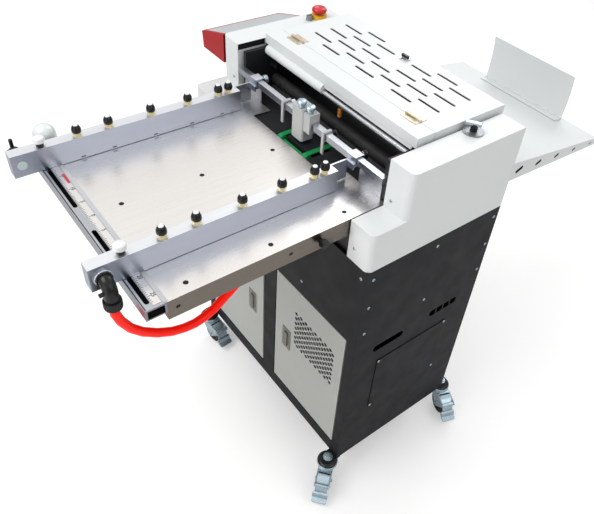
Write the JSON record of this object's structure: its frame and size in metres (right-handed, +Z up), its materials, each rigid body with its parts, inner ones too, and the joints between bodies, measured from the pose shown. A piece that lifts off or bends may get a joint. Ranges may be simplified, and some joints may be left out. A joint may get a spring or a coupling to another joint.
{
  "type": "paper creasing machine",
  "caption": "Floor-standing paper creasing machine: dark cabinet on braked castors, suction feed table with air guides, hinged slotted lid and sloping delivery tray.",
  "frame": {"origin": "bottom centre of the bounding box, on the floor", "axes": "+X to the right as the operator at the feed table sees it, +Y along the sheet's travel, +Z up"},
  "size_m": [0.8908, 1.459, 1.094],
  "materials": {
    "cabinet_paint": "matte",
    "door_paint": "satin",
    "cover_paint": "satin",
    "console_paint": "satin",
    "frame_paint": "satin",
    "motor_paint": "satin",
    "zinc": "satin",
    "wheel_rubber": "matte",
    "steel": "brushed",
    "aluminium": "satin",
    "brass": "satin",
    "black_plastic": "matte",
    "white_plastic": "gloss",
    "roller_rubber": "matte",
    "belt_rubber": "matte",
    "yellow_plastic": "gloss",
    "red_plastic": "gloss",
    "hose_rubber": "satin"
  },
  "bodies": {
    "machine": {"cabinet_frame": "cabinet_paint", "right_side_panel": "cabinet_paint", "left_side_panel": "cabinet_paint", "rear_panel": "cabinet_paint", "front_band": "cabinet_paint", "access_panel": "cabinet_paint", "panel_screws": "zinc", "door_hinges": "steel", "head_frame": "frame_paint", "right_side_cover": "cover_paint", "left_housing": "cover_paint", "console_shell": "console_paint", "front_cover": "cover_paint", "lid_hinges": "brass", "estop_collar": "yellow_plastic", "dial_plate": "steel", "guard_tube": "cover_paint", "drive_motor": "motor_paint", "blower": "motor_paint", "feed_table": "aluminium", "ruler_rail": "steel", "crossbar": "aluminium", "suction_belt": "belt_rubber", "air_hose": "hose_rubber", "delivery_tray": "cover_paint"},
    "fork_front_right": {"castor_fork_front_right": "zinc"},
    "wheel_front_right": {"castor_wheel_front_right": "wheel_rubber"},
    "brake_front_right": {"castor_brake_front_right": "zinc"},
    "fork_rear_right": {"castor_fork_rear_right": "zinc"},
    "wheel_rear_right": {"castor_wheel_rear_right": "wheel_rubber"},
    "brake_rear_right": {"castor_brake_rear_right": "zinc"},
    "fork_front_left": {"castor_fork_front_left": "zinc"},
    "wheel_front_left": {"castor_wheel_front_left": "wheel_rubber"},
    "brake_front_left": {"castor_brake_front_left": "zinc"},
    "fork_rear_left": {"castor_fork_rear_left": "zinc"},
    "wheel_rear_left": {"castor_wheel_rear_left": "wheel_rubber"},
    "brake_rear_left": {"castor_brake_rear_left": "zinc"},
    "door_right": {"right_door": "door_paint"},
    "door_left": {"left_door": "door_paint"},
    "latch_right": {"right_door_latch": "zinc"},
    "latch_left": {"left_door_latch": "zinc"},
    "lid": {"top_lid": "cover_paint"},
    "lid_catch": {"lid_latch": "black_plastic"},
    "dial": {"dial_lever": "zinc"},
    "stop_button": {"estop_button": "red_plastic"},
    "drive_roller": {"feed_roller": "roller_rubber"},
    "upper_roller": {"pinch_roller": "steel"},
    "beam": {"crease_beam": "steel"},
    "guide_near": {"near_guide": "aluminium", "near_valves": "brass", "near_elbow": "black_plastic"},
    "guide_far": {"far_guide": "aluminium", "far_valves": "brass", "far_elbow": "black_plastic"},
    "lock_near": {"near_lock_knob": "white_plastic"},
    "lock_far": {"far_lock_knob": "white_plastic"},
    "sheet_separator": {"separator": "frame_paint"},
    "sep_knob_left": {"separator_knob_left": "white_plastic"},
    "sep_knob_right": {"separator_knob_right": "white_plastic"},
    "tray_stop": {"backstop": "cover_paint"}
  },
  "joints": [
    {"name": "swivel_front_right", "type": "hinge", "parent": "machine", "child": "fork_front_right", "pos_m": [0.3456, -0.2495, 0.09], "axis": [0, 0, 1], "continuous": true},
    {"name": "roll_front_right", "type": "hinge", "parent": "fork_front_right", "child": "wheel_front_right", "pos_m": [0.36745, -0.27555, 0.0375], "axis": [0.766, 0.6428, 0], "continuous": true},
    {"name": "pedal_front_right", "type": "hinge", "parent": "fork_front_right", "child": "brake_front_right", "pos_m": [0.3906, -0.30313, 0.06771], "axis": [0.766, 0.6428, 0], "range_deg": [0, 5]},
    {"name": "swivel_rear_right", "type": "hinge", "parent": "machine", "child": "fork_rear_right", "pos_m": [0.3456, 0.2105, 0.09], "axis": [0, 0, 1], "continuous": true},
    {"name": "roll_rear_right", "type": "hinge", "parent": "fork_rear_right", "child": "wheel_rear_right", "pos_m": [0.37755, 0.19887, 0.0375], "axis": [0.342, 0.9397, 0], "continuous": true},
    {"name": "pedal_rear_right", "type": "hinge", "parent": "fork_rear_right", "child": "brake_rear_right", "pos_m": [0.41138, 0.18656, 0.06771], "axis": [0.342, 0.9397, 0], "range_deg": [0, 5]},
    {"name": "swivel_front_left", "type": "hinge", "parent": "machine", "child": "fork_front_left", "pos_m": [-0.3184, -0.2495, 0.09], "axis": [0, 0, 1], "continuous": true},
    {"name": "roll_front_left", "type": "hinge", "parent": "fork_front_left", "child": "wheel_front_left", "pos_m": [-0.28448, -0.24713, 0.0375], "axis": [-0.0698, 0.9976, 0], "continuous": true},
    {"name": "pedal_front_left", "type": "hinge", "parent": "fork_front_left", "child": "brake_front_left", "pos_m": [-0.24857, -0.24462, 0.06771], "axis": [-0.0698, 0.9976, 0], "range_deg": [0, 5]},
    {"name": "swivel_rear_left", "type": "hinge", "parent": "machine", "child": "fork_rear_left", "pos_m": [-0.3184, 0.2105, 0.09], "axis": [0, 0, 1], "continuous": true},
    {"name": "roll_rear_left", "type": "hinge", "parent": "fork_rear_left", "child": "wheel_rear_left", "pos_m": [-0.34785, 0.2275, 0.0375], "axis": [-0.5, -0.866, 0], "continuous": true},
    {"name": "pedal_rear_left", "type": "hinge", "parent": "fork_rear_left", "child": "brake_rear_left", "pos_m": [-0.37903, 0.2455, 0.06771], "axis": [-0.5, -0.866, 0], "range_deg": [0, 5]},
    {"name": "door_right_hinge", "type": "hinge", "parent": "machine", "child": "door_right", "pos_m": [0.3223, -0.2225, 0.376], "axis": [0, 0, 1], "range_deg": [0, 110]},
    {"name": "door_left_hinge", "type": "hinge", "parent": "machine", "child": "door_left", "pos_m": [-0.2951, -0.2225, 0.376], "axis": [0, 0, -1], "range_deg": [0, 110]},
    {"name": "latch_right_turn", "type": "hinge", "parent": "door_right", "child": "latch_right", "pos_m": [0.0991, -0.2305, 0.396], "axis": [0, 1, 0], "range_deg": [0, 90]},
    {"name": "latch_left_turn", "type": "hinge", "parent": "door_left", "child": "latch_left", "pos_m": [-0.0719, -0.2305, 0.396], "axis": [0, -1, 0], "range_deg": [0, 90]},
    {"name": "lid_hinge", "type": "hinge", "parent": "machine", "child": "lid", "pos_m": [0.0136, -0.0175, 1.0832], "axis": [1, 0, 0], "range_deg": [0, 95]},
    {"name": "lid_catch_turn", "type": "hinge", "parent": "lid", "child": "lid_catch", "pos_m": [0.0136, 0.1515, 1.08], "axis": [0, 0, -1], "range_deg": [0, 90]},
    {"name": "dial_turn", "type": "hinge", "parent": "machine", "child": "dial", "pos_m": [0.3136, 0.0745, 1.068], "axis": [0, 0, 1], "range_deg": [-60, 60]},
    {"name": "stop_press", "type": "slide", "parent": "machine", "child": "stop_button", "axis": [0, 0, -1], "range_m": [0, 0.005], "stiffness_N_per_m": 1500, "springref_m": -0.001},
    {"name": "drive_roller_turn", "type": "hinge", "parent": "machine", "child": "drive_roller", "pos_m": [0.0136, -0.0475, 0.9305], "axis": [1, 0, 0], "continuous": true},
    {"name": "upper_roller_turn", "type": "hinge", "parent": "machine", "child": "upper_roller", "pos_m": [0.0136, -0.0475, 0.9629], "axis": [1, 0, 0], "continuous": true},
    {"name": "beam_stroke", "type": "slide", "parent": "machine", "child": "beam", "axis": [0, 0, -1], "range_m": [0, 0.0115]},
    {"name": "guide_near_shift", "type": "slide", "parent": "machine", "child": "guide_near", "axis": [1, 0, 0], "range_m": [-0.04, 0.065]},
    {"name": "guide_far_shift", "type": "slide", "parent": "machine", "child": "guide_far", "axis": [1, 0, 0], "range_m": [-0.045, 0.06]},
    {"name": "lock_near_turn", "type": "hinge", "parent": "guide_near", "child": "lock_near", "pos_m": [0.1911, -0.6645, 1], "axis": [0, 0, 1], "range_deg": [-180, 180]},
    {"name": "lock_far_turn", "type": "hinge", "parent": "guide_far", "child": "lock_far", "pos_m": [-0.1869, -0.6645, 1], "axis": [0, 0, 1], "range_deg": [-180, 180]},
    {"name": "separator_shift", "type": "slide", "parent": "machine", "child": "sheet_separator", "axis": [1, 0, 0], "range_m": [-0.02, 0.02]},
    {"name": "sep_knob_left_turn", "type": "hinge", "parent": "sheet_separator", "child": "sep_knob_left", "pos_m": [0.0086, -0.1505, 1.036], "axis": [0, 0, 1], "range_deg": [-180, 180]},
    {"name": "sep_knob_right_turn", "type": "hinge", "parent": "sheet_separator", "child": "sep_knob_right", "pos_m": [0.0336, -0.1445, 1.032], "axis": [0, 0, 1], "range_deg": [-180, 180]},
    {"name": "tray_stop_shift", "type": "slide", "parent": "machine", "child": "tray_stop", "axis": [0, 0.9903, -0.1392], "range_m": [-0.3, 0]}
  ],
  "couplings": [
    {"joint": "upper_roller_turn", "follows": "drive_roller_turn", "ratio": -1.2857}
  ]
}
